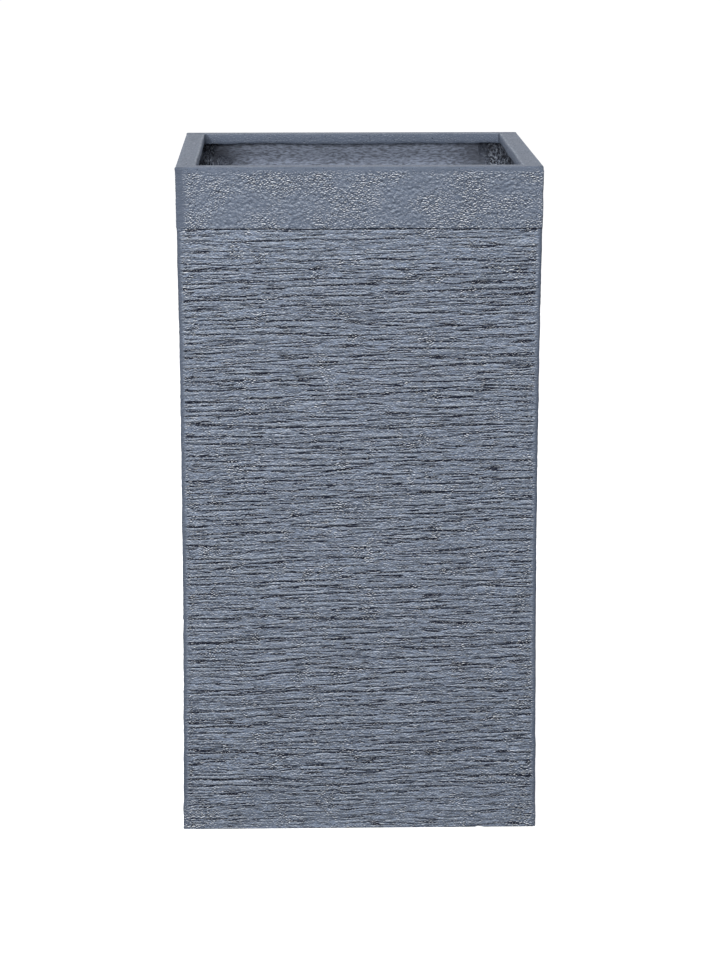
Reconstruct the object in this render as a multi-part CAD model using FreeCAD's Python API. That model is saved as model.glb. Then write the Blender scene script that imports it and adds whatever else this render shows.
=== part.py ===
import FreeCAD, Part
import math
import os

# A tall square fibreglass planter, hand laid from panels: four moulded walls mitred at the corners,
# a thick lip of four mitred bars round the mouth, a raised floor bedded on resin beads, glass-mat
# fillets down the inside corners, and a rubber plug in the drain hole.
# Millimetres. +Z is up, the front faces -Y, and the origin is the middle of the footprint.

# ---- overall size ----
width = 400.0            # outside, left to right
depth = 400.0            # outside, front to back
height = 750.0           # ground to the top of the rim

# ---- walls ----
wall = 6.0               # laminate thickness
waist = 2.7              # how far each wall is drawn in at half height
band_height = 67.0       # the stippled band under the rim
score_width = 1.6        # the scored line under the band
score_depth = 1.0

# ---- lip round the mouth ----
rim_width = 22.0         # wall and lip together, seen from above
lip_height = 12.0
lip_edge_radius = 2.0    # the two inner edges of each bar

# ---- floor and the resin that bonds it ----
floor_clearance = 15.0   # open space under the floor
floor_thickness = 8.0
bead_leg = 12.0          # resin bead where the floor meets a wall
corner_radius = 25.0     # glass-mat fillet down each inside corner

# ---- drain hole and its plug ----
drain_radius = 12.0
plug_clearance = 0.06    # between the shank and the hole, on the radius
plug_tail = 5.0          # tapered end of the shank, below the floor
plug_taper = 1.5         # how much the tail narrows, on the radius
flange_overlap = 7.0     # flange past the edge of the hole
flange_thickness = 3.0
flange_edge_radius = 1.0
tab_width = 16.0
tab_thickness = 5.0
tab_height = 13.0
tab_root = 1.0           # how deep the tab's root goes into the flange
tab_edge_radius = 1.5

# ---- worked out from the sizes above ----
floor_top = floor_clearance + floor_thickness
lip_bottom = height - lip_height
margin = 20.0            # how far the cutting shapes run past the object
same_place = 1e-6        # two coordinates this close are the same

# each side: its turn about Z from the front, its length, and its distance from the middle
sides = {
    "front": (0, width, depth / 2),
    "right": (90, depth, width / 2),
    "back": (180, width, depth / 2),
    "left": (270, depth, width / 2),
}


def vec(x, y, z):
    return FreeCAD.Vector(x, y, z)


def prism(points, push):
    """The solid that a closed outline of points leaves when it is pushed along a vector."""
    outline = Part.makePolygon(points + points[:1])
    return Part.Face(outline).extrude(push)


def turned(shape, angle):
    """A copy of a shape made for the front, moved to the side at that angle."""
    copy = shape.copy()
    copy.rotate(vec(0, 0, 0), vec(0, 0, 1), angle)
    return copy


def level_slab(bottom, top):
    """A slab that runs past the walls on every side, between two heights."""
    size_x = width + 2 * margin
    size_y = depth + 2 * margin
    return Part.makeBox(size_x, size_y, top - bottom, vec(-size_x / 2, -size_y / 2, bottom))


def drawn_in(z):
    """How far a wall is drawn in at height z: an arc with nothing at the foot and the top."""
    half_height = height / 2
    arc_radius = (half_height ** 2 + waist ** 2) / (2 * waist)
    return waist - arc_radius + math.sqrt(arc_radius ** 2 - (z - half_height) ** 2)


def waisted_block(length, front_y, back_y):
    """A block along X whose front and back are drawn in by the waist, towards the middle."""
    front_middle = front_y + waist
    back_middle = back_y + (waist if back_y < 0 else -waist)
    outline = Part.Wire([
        Part.Arc(vec(0, front_y, 0), vec(0, front_middle, height / 2), vec(0, front_y, height)).toShape(),
        Part.makeLine(vec(0, front_y, height), vec(0, back_y, height)),
        Part.Arc(vec(0, back_y, height), vec(0, back_middle, height / 2), vec(0, back_y, 0)).toShape(),
        Part.makeLine(vec(0, back_y, 0), vec(0, front_y, 0)),
    ])
    block = Part.Face(outline).extrude(vec(length, 0, 0))
    block.translate(vec(-length / 2, 0, 0))
    return block


def mitre_space(length, reach):
    """The space between the two 45 degree planes that a side shares with its neighbours."""
    half = length / 2
    inward = rim_width + margin
    outline = [
        vec(-half - margin, -reach - margin, -margin),
        vec(half + margin, -reach - margin, -margin),
        vec(half - inward, -reach + inward, -margin),
        vec(-half + inward, -reach + inward, -margin),
    ]
    return prism(outline, vec(0, 0, height + 2 * margin))


def make_cavity():
    """The space inside the four walls, from the ground to the top of the rim."""
    inner_y = depth / 2 - wall
    inner_x = width / 2 - wall
    front_to_back = waisted_block(width, -inner_y, inner_y)
    side_to_side = turned(waisted_block(depth, -inner_x, inner_x), 90)
    return front_to_back.common(side_to_side)


def make_wall(length, reach):
    """One moulded wall: waisted inside and out, scored under the band, mitred at both ends."""
    slab = waisted_block(length, -reach, -reach + wall)
    score_top = height - band_height
    score_reach = margin + drawn_in(score_top) + score_depth
    score = Part.makeBox(length, score_reach, score_width,
                         vec(-length / 2, -reach - margin, score_top - score_width))
    return slab.cut(score).common(mitre_space(length, reach))


def make_lip(length, reach):
    """One bar of the rim, as wide as the rim, before the wall takes its own share of it."""
    bar = Part.makeBox(length, rim_width, lip_height, vec(-length / 2, -reach, lip_bottom))
    inner_y = -reach + rim_width
    inner_edges = []
    for edge in bar.Edges:
        on_inner_face = abs(edge.BoundBox.YMin - inner_y) < same_place
        if on_inner_face and edge.BoundBox.XLength > lip_height:
            inner_edges.append(edge)
    return bar.makeFillet(lip_edge_radius, inner_edges).common(mitre_space(length, reach))


def make_corner_fillets(cavity):
    """Glass mat and resin rounding the four inside corners, from the floor up to the lip."""
    upright_edges = [edge for edge in cavity.Edges if edge.BoundBox.ZLength > height / 2
                     and edge.BoundBox.XLength < width / 2 and edge.BoundBox.YLength < depth / 2]
    rounded = cavity.makeFillet(corner_radius, upright_edges)
    fillets = cavity.cut(rounded).common(level_slab(floor_top, lip_bottom))
    named = {}
    for solid in fillets.Solids:
        front_or_back = "front" if solid.CenterOfMass.y < 0 else "back"
        left_or_right = "left" if solid.CenterOfMass.x < 0 else "right"
        named["corner_fillet_" + front_or_back + "_" + left_or_right] = solid
    return named


def make_bead(length, reach):
    """One resin bead in the angle between the floor and a wall, run into both of its corners."""
    inner_face = -reach + wall + drawn_in(floor_top)
    bead_top = floor_top + bead_leg
    outline = [
        vec(-length / 2, inner_face - wall / 2, floor_top),
        vec(-length / 2, inner_face + bead_leg, floor_top),
        vec(-length / 2, inner_face, bead_top),
        vec(-length / 2, inner_face - wall / 2, bead_top),
    ]
    return prism(outline, vec(length, 0, 0)).common(mitre_space(length, reach))


def make_floor(cavity):
    """The floor panel, let in between the walls above the ground, with its drain hole."""
    hole = Part.makeCylinder(drain_radius, floor_thickness, vec(0, 0, floor_clearance))
    return cavity.common(level_slab(floor_clearance, floor_top)).cut(hole)


def rounded_top(shape, radius):
    """The shape with the edges round its top face rounded."""
    top = shape.BoundBox.ZMax
    edges = [edge for edge in shape.Edges if edge.BoundBox.ZMin > top - same_place]
    return shape.makeFillet(radius, edges)


def make_plug():
    """A rubber plug: a shank in the hole, a flange on the floor, and a tab to pull it by."""
    shank_radius = drain_radius - plug_clearance
    shank = Part.makeCylinder(shank_radius, floor_thickness, vec(0, 0, floor_clearance))
    tail = Part.makeCone(shank_radius - plug_taper, shank_radius, plug_tail,
                         vec(0, 0, floor_clearance - plug_tail))
    flange = Part.makeCylinder(drain_radius + flange_overlap, flange_thickness,
                               vec(0, 0, floor_top))
    tab = Part.makeBox(tab_width, tab_thickness, tab_root + tab_height,
                       vec(-tab_width / 2, -tab_thickness / 2,
                           floor_top + flange_thickness - tab_root))
    pieces = [tail, rounded_top(flange, flange_edge_radius), rounded_top(tab, tab_edge_radius)]
    return shank.fuse(pieces).removeSplitter()


def build():
    cavity = make_cavity()
    parts = make_corner_fillets(cavity)
    all_fillets = Part.makeCompound(list(parts.values()))
    for side, (angle, length, reach) in sides.items():
        lip = turned(make_lip(length, reach), angle)
        bead = turned(make_bead(length, reach), angle)
        parts[side + "_wall"] = turned(make_wall(length, reach), angle)
        parts["lip_" + side] = lip.common(cavity)
        parts["floor_bead_" + side] = bead.common(cavity).cut(all_fillets)
    parts["floor_panel"] = make_floor(cavity)
    parts["drain_plug"] = make_plug()
    return parts


def write_parts(parts):
    os.makedirs("parts", exist_ok=True)
    for name, shape in parts.items():
        if len(shape.Solids) != 1 or not shape.isValid():
            raise RuntimeError(name + " is not one valid solid")
        shape.Solids[0].exportStep("parts/" + name + ".step")
        print(name, round(shape.Volume / 1000, 2), "cm3")


write_parts(build())
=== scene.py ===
import math

import bpy
import numpy as np
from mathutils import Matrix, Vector


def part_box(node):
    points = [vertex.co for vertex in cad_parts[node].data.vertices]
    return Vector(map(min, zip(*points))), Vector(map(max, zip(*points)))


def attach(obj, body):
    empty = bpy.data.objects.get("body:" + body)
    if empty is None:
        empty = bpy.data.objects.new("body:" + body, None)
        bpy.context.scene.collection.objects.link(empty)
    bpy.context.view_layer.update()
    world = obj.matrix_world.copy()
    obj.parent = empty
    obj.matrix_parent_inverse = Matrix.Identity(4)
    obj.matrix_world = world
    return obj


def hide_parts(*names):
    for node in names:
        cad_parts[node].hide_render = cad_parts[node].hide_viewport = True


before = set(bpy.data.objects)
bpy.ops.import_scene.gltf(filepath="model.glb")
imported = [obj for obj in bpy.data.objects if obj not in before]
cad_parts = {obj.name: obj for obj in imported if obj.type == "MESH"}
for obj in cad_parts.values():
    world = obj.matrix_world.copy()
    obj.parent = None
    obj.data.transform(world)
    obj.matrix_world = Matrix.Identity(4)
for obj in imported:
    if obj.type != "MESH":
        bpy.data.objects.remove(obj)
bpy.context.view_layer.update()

# Tall square planter in hand-laid fibreglass. Sizes are in millimetres until a mesh is made.
# A side is drawn flat, with u along the wall, out away from the middle and z up, and is then
# turned to where it stands: front, right, back, left. Corner k is at the left end of side k.

mm = 0.001
seeds = {"corner": 77, "rim": 300, "mat": 500, "floor": 700, "bead": 800, "wall": 1000, "chips": 1100,
         "stipple": 1200}
sideNames = ["front", "right", "back", "left"]
cornerNames = ["front_left", "front_right", "back_right", "back_left"]


def cadBox(node):
    low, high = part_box(node)
    return [v / mm for v in low], [v / mm for v in high]


wallLow, wallHigh = cadBox("front_wall")
lipLow, lipHigh = cadBox("lip_front")
floorLow, floorHigh = cadBox("floor_panel")
beadLow, beadHigh = cadBox("floor_bead_front")
plugLow, plugHigh = cadBox("drain_plug")

half = wallHigh[0]                       # middle to the outside of a wall, at the foot and the top
height = wallHigh[2]
wallThick = lipLow[1] - wallLow[1]
waist = (wallHigh[1] - wallLow[1]) - wallThick
rimWide = lipHigh[1] - wallLow[1]
lipFoot = lipLow[2]
floorTop = floorHigh[2]
floorFoot = floorLow[2]
beadTop = beadHigh[2]


def srgb(hexColour):
    # a colour picked on screen, turned to the linear value a shader wants
    parts = [int(hexColour[i:i + 2], 16) / 255 for i in (1, 3, 5)]
    linear = [p / 12.92 if p <= 0.04045 else ((p + 0.055) / 1.055) ** 2.4 for p in parts]
    return (*linear, 1.0)


def addNode(tree, kind, settings=None, links=None, **values):
    # settings are the node's own, links go into its sockets, and values fill them by name or number
    node = tree.nodes.new(kind)
    for key, value in (settings or {}).items():
        setattr(node, key, value)
    for key, value in values.items():
        numbered = key[0] == "_" and key[1:].isdigit()
        socket = int(key[1:]) if numbered else key.replace("_", " ")
        node.inputs[socket].default_value = value
    for key, source in (links or {}).items():
        tree.links.new(source, node.inputs[key])
    return node


def smooth(low, high, x):
    t = np.clip((np.asarray(x, float) - low) / (high - low), 0, 1)
    return t * t * (3 - 2 * t)


def softNoise(rng, shape, spread, lean=0.0):
    # noise blurred by spread cells up and along, leaning by lean, with a mean of 0 and a spread of 1
    up = np.fft.fftfreq(shape[0])[:, None]
    along = np.fft.fftfreq(shape[1])[None, :]
    blur = ((up + lean * along) * spread[0]) ** 2 + (along * spread[1]) ** 2
    keep = np.exp(-2 * math.pi ** 2 * blur)
    noise = np.real(np.fft.ifft2(np.fft.fft2(rng.standard_normal(shape)) * keep))
    return (noise - noise.mean()) / noise.std()


def wobble(rng, count, spread):
    # the same noise along a line
    return softNoise(rng, (count, 1), (spread, 0))[:, 0]


def blurred(grid, up, along=0):
    # each row and column blurred by that many cells
    rows = np.exp(-2 * (math.pi * np.fft.fftfreq(grid.shape[0]) * up) ** 2)[:, None]
    cols = np.exp(-2 * (math.pi * np.fft.fftfreq(grid.shape[1]) * along) ** 2)[None, :]
    return np.real(np.fft.ifft2(np.fft.fft2(grid) * rows * cols))


def drawnIn(z):
    # the waist: how far a wall is drawn in at height z
    rise = height / 2
    arc = (rise ** 2 + waist ** 2) / (2 * waist)
    return waist - arc + np.sqrt(arc ** 2 - (np.asarray(z, float) - rise) ** 2)


def turnTo(side, u, out, z):
    # from the flat side to the object's own axes, in metres
    x, y = [(u, -out), (out, u), (-u, out), (-out, -u)][side]
    return np.stack([x, y, z], axis=-1).reshape(-1, 3) * mm


def gridQuads(rows, cols, start=0):
    r, c = np.meshgrid(np.arange(rows - 1), np.arange(cols - 1), indexing="ij")
    first = (start + r * cols + c).ravel()
    return np.stack([first, first + 1, first + cols + 1, first + cols], axis=1).tolist()


def barFaces(rows, cols):
    # quads round a bar whose ring has a row for each point, with a cap at both ends
    faces = []
    for r in range(rows):
        here, there = r * cols, (r + 1) % rows * cols
        faces += [[here + c, here + c + 1, there + c + 1, there + c] for c in range(cols - 1)]
    faces.append([r * cols for r in range(rows)])
    faces.append([r * cols + cols - 1 for r in reversed(range(rows))])
    return faces


def tubeFaces(rows, cols, start=0, flip=False):
    # quads round a tube whose rows are closed rings, with a cap at both ends
    faces = []
    for r in range(rows - 1):
        for c in range(cols):
            a, b = start + r * cols + c, start + r * cols + (c + 1) % cols
            faces.append([a, a + cols, b + cols, b] if flip else [a, b, b + cols, a + cols])
    first = [start + c for c in range(cols)]
    last = [p + (rows - 1) * cols for p in first]
    return faces + ([first, last[::-1]] if flip else [first[::-1], last])


def addObject(name, data):
    thing = bpy.data.objects.new(name, data)
    bpy.context.scene.collection.objects.link(thing)
    return thing


def makeMesh(name, points, faces, body, material, replaced, marks=None, sharpFrom=60):
    mesh = bpy.data.meshes.new(name)
    mesh.from_pydata(np.asarray(points).tolist(), [], faces)
    mesh.polygons.foreach_set("use_smooth", [True] * len(mesh.polygons))
    for layer, values in (marks or {}).items():
        attribute = mesh.attributes.new(layer, "FLOAT", "POINT")
        attribute.data.foreach_set("value", np.asarray(values, dtype=np.float32).ravel())
    mesh.validate()
    mesh.update()
    mesh.set_sharp_from_angle(angle=math.radians(sharpFrom))
    piece = addObject(name, mesh)
    mesh.materials.append(material)
    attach(piece, body)
    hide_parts(*replaced)
    return piece


def newMaterial(name):
    material = bpy.data.materials.new(name)
    material.use_nodes = True
    return material, material.node_tree, material.node_tree.nodes["Principled BSDF"]


def drawnOut(tree, place, wide, tall, **noise):
    # noise whose marks are wide mm along the wall and tall mm up it, with the place it is read from
    stretched = addNode(tree, "ShaderNodeMapping", {}, {"Vector": place},
                        Scale=(1 / (wide * mm), 1 / (wide * mm), 1 / (tall * mm))).outputs[0]
    marks = addNode(tree, "ShaderNodeTexNoise", {}, {"Vector": stretched}, Scale=1.0, **noise)
    return stretched, marks.outputs["Fac"]


def readHigher(tree, stretched, rise, **noise):
    # the same noise, read a little higher up the wall
    higher = addNode(tree, "ShaderNodeMapping", {}, {"Vector": stretched}, Location=(0, 0, rise))
    return addNode(tree, "ShaderNodeTexNoise", {}, {"Vector": higher.outputs[0]},
                   Scale=1.0, **noise).outputs["Fac"]


gelcoatLook = {
    "paint": "#626C7D",           # slate blue-grey
    "shadeAndDarkening": "#030C21",          # painted shade in gouges, cuts, pinholes and hollows
    "paintedHighlight": "#A6B0BF",           # painted highlight along the top of a ridge
    "glint": "#F0F3F8",           # painted highlight, nearly white, on the highest points
    "hair": (7.0, 1.3),           # mm along and up, a mark of a brush hair, coarser than real to show
    "streak": (60.0, 1.9),        # the longer drags between them
    "drag": (32.0, 1.35),         # the short cuts where the brush skipped
    "speck": (2.1, 1.3),          # one grain of overspray, flattened by the brush
    "sway": (70.0, 12.0),         # mm, along which the marks rise and fall, and how far
    "stipple": 1.75,              # mm, one bump of the orange peel
    "cluster": 24.0,              # mm, a patch of crumbs
    "tonePerMetre": 14.0,
    "lipUp": 0.75,                # from a cut up to its pale lip, as a share of the drag's height
    "aboveUp": 0.5,               # from a grain's foot up to its lit top, as a share of its height
    "tones": {"paint": (0.95, 1.05), "hair": (0.5, 1.9), "streak": (0.8, 1.25), "pimple": (0.85, 1.35)},
    "marks": {                    # the noise at which a mark begins and is full, and how strong it gets
        "crumbs": (0.58, 0.68, 1.0), "cut": (0.365, 0.343, 1.0), "lip": (0.38, 0.33, 0.75),
        "litTop": (0.105, 0.225, 1.0), "underShade": (-0.04, -0.16, 0.75), "gouge": (0.34, 0.47, 1.0),
        "pinhole": (0.32, 0.28, 1.0),
    },
    "bumps": {"hair": 1.4, "drag": 2.0, "speck": 1.6, "pimple": 2.0},     # mm, how high they stand
    "sheen": 0.2,                 # flatted, so the cuts stay dark under the soft boxes
    "roughness": 0.5,
    "IOR": 1.46,
}


def paintedGelcoat():
    # brushed gelcoat under satin paint: drags and hairs along the wall with painted shade in the cuts,
    # and small pimples with a painted highlight on top
    look = gelcoatLook
    material, tree, shader = newMaterial("brushed gelcoat, satin paint")
    place = addNode(tree, "ShaderNodeTexCoord").outputs["Object"]
    shadeAndDarkening, paintedHighlight, grain, comb, gouge = [
        addNode(tree, "ShaderNodeAttribute", {"attribute_name": mark}).outputs["Fac"]
        for mark in ("shadeAndDarkening", "paintedHighlight", "grain", "comb", "gouge")]

    # nothing the brush left is dead level, so the place it is read from rises and falls
    sway = addNode(tree, "ShaderNodeTexNoise", {}, {"Vector": place},
                   Scale=1 / (look["sway"][0] * mm), Detail=1.0)
    swayed = addNode(tree, "ShaderNodeVectorMath", {"operation": "MULTIPLY_ADD"},
                     {0: sway.outputs["Color"], 2: place}, _1=(0, 0, look["sway"][1] * mm)).outputs[0]
    _, hair = drawnOut(tree, swayed, *look["hair"], Detail=1.5, Roughness=0.55)
    _, streak = drawnOut(tree, swayed, *look["streak"], Detail=2.0, Roughness=0.6)
    dragPlace, drag = drawnOut(tree, swayed, *look["drag"], Detail=1.0, Roughness=0.4)
    lip = readHigher(tree, dragPlace, look["lipUp"], Detail=1.0, Roughness=0.4)
    speckPlace, speck = drawnOut(tree, place, *look["speck"], Detail=0.5)
    above = readHigher(tree, speckPlace, look["aboveUp"], Detail=0.5)
    pimple = addNode(tree, "ShaderNodeTexNoise", {}, {"Vector": place},
                     Scale=1 / (look["stipple"] * mm), Detail=1.5, Roughness=0.55).outputs["Fac"]
    patch = addNode(tree, "ShaderNodeTexNoise", {}, {"Vector": place},
                    Scale=1 / (look["cluster"] * mm), Detail=3.0, Roughness=0.6).outputs["Fac"]
    tone = addNode(tree, "ShaderNodeTexNoise", {}, {"Vector": place},
                   Scale=look["tonePerMetre"], Detail=4.0).outputs["Fac"]

    # how far each pattern pales or darkens the paint
    toned = {}
    for name, noise in (("paint", tone), ("hair", hair), ("streak", streak), ("pimple", pimple)):
        low, high = look["tones"][name]
        toned[name] = addNode(tree, "ShaderNodeMapRange", {"clamp": name == "paint"}, {"Value": noise},
                              From_Min=0.3, From_Max=0.7, To_Min=low, To_Max=high).outputs[0]
    # painted light on the grains: a painted highlight on top and painted shade below
    lit = addNode(tree, "ShaderNodeMath", {"operation": "SUBTRACT"}, {0: speck, 1: above}).outputs[0]
    here = {}
    for name, noise in (("crumbs", patch), ("cut", drag), ("lip", lip), ("litTop", lit), ("underShade", lit),
                        ("gouge", gouge), ("pinhole", pimple)):
        start, full, most = look["marks"][name]
        here[name] = addNode(tree, "ShaderNodeMapRange", {}, {"Value": noise},
                             From_Min=start, From_Max=full, To_Max=most).outputs[0]
    # crumbs lie in patches on top of the even grain of each zone
    here["crumbs"] = addNode(tree, "ShaderNodeMath", {"operation": "MULTIPLY_ADD", "use_clamp": True},
                             {0: here["crumbs"], 1: comb, 2: grain}).outputs[0]
    for name, zone in (("cut", comb), ("lip", comb), ("litTop", here["crumbs"]),
                       ("underShade", here["crumbs"])):
        here[name] = addNode(tree, "ShaderNodeMath", {"operation": "MULTIPLY"},
                             {0: here[name], 1: zone}).outputs[0]

    paint = addNode(tree, "ShaderNodeHueSaturation", {}, {"Value": toned["paint"]},
                    Color=srgb(look["paint"]))
    # the brushed ground is a little paler than the plain edges, as the primer shows through
    brushTone = addNode(tree, "ShaderNodeMath", {"operation": "MULTIPLY"},
                        {0: toned["hair"], 1: toned["streak"]})
    brushHere = addNode(tree, "ShaderNodeMix", {"data_type": "FLOAT"},
                        {"Factor": comb, "B": brushTone.outputs[0]}, _2=1.0)
    brushed = addNode(tree, "ShaderNodeHueSaturation", {},
                      {"Color": paint.outputs[0], "Value": brushHere.outputs[0]})
    pimpleHere = addNode(tree, "ShaderNodeMix", {"data_type": "FLOAT"},
                         {"Factor": here["crumbs"], "B": toned["pimple"]}, _2=1.0)
    grained = addNode(tree, "ShaderNodeHueSaturation", {},
                      {"Color": brushed.outputs[0], "Value": pimpleHere.outputs[0]})

    # painted shade in the cuts where the brush skipped, and a painted highlight on the lip below
    highlightShare = addNode(tree, "ShaderNodeMath", {"operation": "MAXIMUM"}, {0: paintedHighlight, 1: here["lip"]})
    highlighted = addNode(tree, "ShaderNodeMix", {"data_type": "RGBA"},
                     {0: highlightShare.outputs[0], 6: grained.outputs[0]}, _7=srgb(look["paintedHighlight"]))
    # painted shade: the hollows, the cuts, the gouges and the undersides of the grains
    deep = shadeAndDarkening
    for name in ("cut", "gouge", "underShade"):
        deep = addNode(tree, "ShaderNodeMath", {"operation": "MAXIMUM"},
                       {0: deep, 1: here[name]}).outputs[0]
    shadeColour = addNode(tree, "ShaderNodeMix", {"data_type": "RGBA"},
                   {0: deep, 6: highlighted.outputs[2]}, _7=srgb(look["shadeAndDarkening"]))
    # painted shade in the pinholes where air bubbles broke, on the plain rim and edges too
    pitted = addNode(tree, "ShaderNodeMix", {"data_type": "RGBA"},
                     {0: here["pinhole"], 6: shadeColour.outputs[2]}, _7=srgb(look["shadeAndDarkening"]))
    # painted highlight, nearly white, on the tops of the grains
    glinted = addNode(tree, "ShaderNodeMix", {"data_type": "RGBA"},
                      {0: here["litTop"], 6: pitted.outputs[2]}, _7=srgb(look["glint"]))
    tree.links.new(glinted.outputs[2], shader.inputs["Base Color"])

    rough = addNode(tree, "ShaderNodeMapRange", {}, {"Value": pimple},
                    From_Min=0.3, From_Max=0.7, To_Min=look["roughness"] + 0.1,
                    To_Max=look["roughness"] - 0.1)
    tree.links.new(rough.outputs[0], shader.inputs["Roughness"])
    shader.inputs["IOR"].default_value = look["IOR"]
    shader.inputs["Specular IOR Level"].default_value = look["sheen"]

    grainy = addNode(tree, "ShaderNodeMath", {"operation": "MULTIPLY_ADD"}, {0: here["crumbs"]},
                     _1=0.9, _2=0.1).outputs[0]
    links = {}
    for name, noise, strength in (("hair", hair, comb), ("drag", drag, comb), ("speck", speck, grainy),
                                  ("pimple", pimple, grainy)):
        links.update({"Height": noise, "Strength": strength})
        normal = addNode(tree, "ShaderNodeBump", {}, links, Distance=look["bumps"][name] * mm)
        links["Normal"] = normal.outputs[0]
    tree.links.new(links["Normal"], shader.inputs["Normal"])
    return material


matLook = {
    "paint": "#7F889A",           # the same paint, painted paler inside to make up for the shade there
    # the colour of the painted shade in the inside corners
    "shadeColour": "#2B2F3A",
    "strand": 1.15,               # mm, glass strands that show through the resin
    "alongWall": 0.22,            # strands lie more along the wall than up it
    "tone": (0.5, 1.55),
    "warpLong": 50.0,             # mm, over which the strands bend, and by how much
    "warp": 0.008,
    "high": 0.5,
    "roughness": 0.62,
    "IOR": 1.52,
}


def paintedMat():
    # glass mat wetted out with resin and painted over: a coarse felt of strands, dull, with painted
    # shade in the corners
    look = matLook
    material, tree, shader = newMaterial("glass mat laminate, painted")
    place = addNode(tree, "ShaderNodeTexCoord").outputs["Object"]
    shadeAndDarkening = addNode(tree, "ShaderNodeAttribute", {"attribute_name": "shadeAndDarkening"}).outputs["Fac"]
    warp = addNode(tree, "ShaderNodeTexNoise", {}, {"Vector": place},
                   Scale=1 / (look["warpLong"] * mm), Detail=2.0)
    warped = addNode(tree, "ShaderNodeMix", {"data_type": "VECTOR"},
                     {4: place, 5: warp.outputs["Color"]}, _0=look["warp"])
    laid = addNode(tree, "ShaderNodeMapping", {}, {"Vector": warped.outputs[1]},
                   Scale=(look["alongWall"], look["alongWall"], 1.0))
    strand = addNode(tree, "ShaderNodeTexNoise", {}, {"Vector": laid.outputs[0]},
                     Scale=1 / (look["strand"] * mm), Detail=1.5, Roughness=0.6)
    tone = addNode(tree, "ShaderNodeMapRange", {}, {"Value": strand.outputs["Fac"]},
                   From_Min=0.35, From_Max=0.65, To_Min=look["tone"][0], To_Max=look["tone"][1])
    paint = addNode(tree, "ShaderNodeHueSaturation", {}, {"Value": tone.outputs[0]},
                    Color=srgb(look["paint"]))
    # painted shade in the inside corners
    shadeColour = addNode(tree, "ShaderNodeMix", {"data_type": "RGBA"}, {0: shadeAndDarkening, 6: paint.outputs[0]},
                   _7=srgb(look["shadeColour"]))
    tree.links.new(shadeColour.outputs[2], shader.inputs["Base Color"])
    rough = addNode(tree, "ShaderNodeMapRange", {}, {"Value": strand.outputs["Fac"]},
                    To_Min=look["roughness"] + 0.12, To_Max=look["roughness"] - 0.12)
    tree.links.new(rough.outputs[0], shader.inputs["Roughness"])
    shader.inputs["IOR"].default_value = look["IOR"]
    bump = addNode(tree, "ShaderNodeBump", {}, {"Height": strand.outputs["Fac"]},
                   Strength=0.9, Distance=look["high"] * mm)
    tree.links.new(bump.outputs[0], shader.inputs["Normal"])
    return material


openMatLook = {
    "resin": "#6C7483",
    "hole": "#121724",            # painted shade in the gaps between the strands, which the resin never filled
    "strand": "#A9B0BC",
    "edge": "#555C6B",
    "across": 1.5,                # mm from strand to strand, and along one
    "alongStrand": 4.5,
    "swirlPerMetre": 35.0,        # how the strands curl, and by how much
    "swirl": 0.03,
    "gapFrom": (0.53, 0.42),
    "wireFrom": (0.57, 0.66),
    "high": 3.0,
    "roughness": 0.6,
    "IOR": 1.52,
}


def openGlassMat():
    # chopped-strand mat left rough in the corners: pale wiry strands over gaps with painted shade
    look = openMatLook
    material, tree, shader = newMaterial("chopped glass mat, resin starved")
    place = addNode(tree, "ShaderNodeTexCoord").outputs["Object"]
    shadeAndDarkening, thin = [addNode(tree, "ShaderNodeAttribute", {"attribute_name": mark}).outputs["Fac"]
                    for mark in ("shadeAndDarkening", "thin")]
    swirl = addNode(tree, "ShaderNodeTexNoise", {}, {"Vector": place},
                    Scale=look["swirlPerMetre"], Detail=1.0)
    swirled = addNode(tree, "ShaderNodeMix", {"data_type": "VECTOR"},
                      {4: place, 5: swirl.outputs["Color"]}, _0=look["swirl"])
    _, strand = drawnOut(tree, swirled.outputs[1], look["across"], look["alongStrand"],
                         Detail=1.5, Roughness=0.6)
    gaps, wires = [addNode(tree, "ShaderNodeMapRange", {}, {"Value": strand},
                           From_Min=start, From_Max=full).outputs[0]
                   for start, full in (look["gapFrom"], look["wireFrom"])]
    wired = addNode(tree, "ShaderNodeMix", {"data_type": "RGBA"}, {0: wires},
                    _6=srgb(look["resin"]), _7=srgb(look["strand"]))
    holed = addNode(tree, "ShaderNodeMix", {"data_type": "RGBA"}, {0: gaps, 6: wired.outputs[2]},
                    _7=srgb(look["hole"]))
    # towards its edges the mat thins out and the painted wall shows through
    lapped = addNode(tree, "ShaderNodeMix", {"data_type": "RGBA"}, {0: thin, 6: holed.outputs[2]},
                     _7=srgb(look["edge"]))
    # painted shade deep in the corners and under the rim
    cornerShaded = addNode(tree, "ShaderNodeMix", {"data_type": "RGBA"},
                    {0: shadeAndDarkening, 6: lapped.outputs[2]}, _7=srgb(look["hole"]))
    tree.links.new(cornerShaded.outputs[2], shader.inputs["Base Color"])
    rough = addNode(tree, "ShaderNodeMapRange", {}, {"Value": strand},
                    To_Min=look["roughness"] + 0.15, To_Max=look["roughness"] - 0.15)
    tree.links.new(rough.outputs[0], shader.inputs["Roughness"])
    shader.inputs["IOR"].default_value = look["IOR"]
    bump = addNode(tree, "ShaderNodeBump", {}, {"Height": strand},
                   Strength=1.0, Distance=look["high"] * mm)
    tree.links.new(bump.outputs[0], shader.inputs["Normal"])
    return material


rubberLook = {
    "colour": "#1C1D20",
    "dust": "#3A3B3E",
    "dustPerMetre": 120.0,
    "grit": 0.9,                  # mm, the grain of the mould, drawn coarser than real
    "high": 0.3,
    "roughness": 0.62,
    "IOR": 1.52,
}


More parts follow.
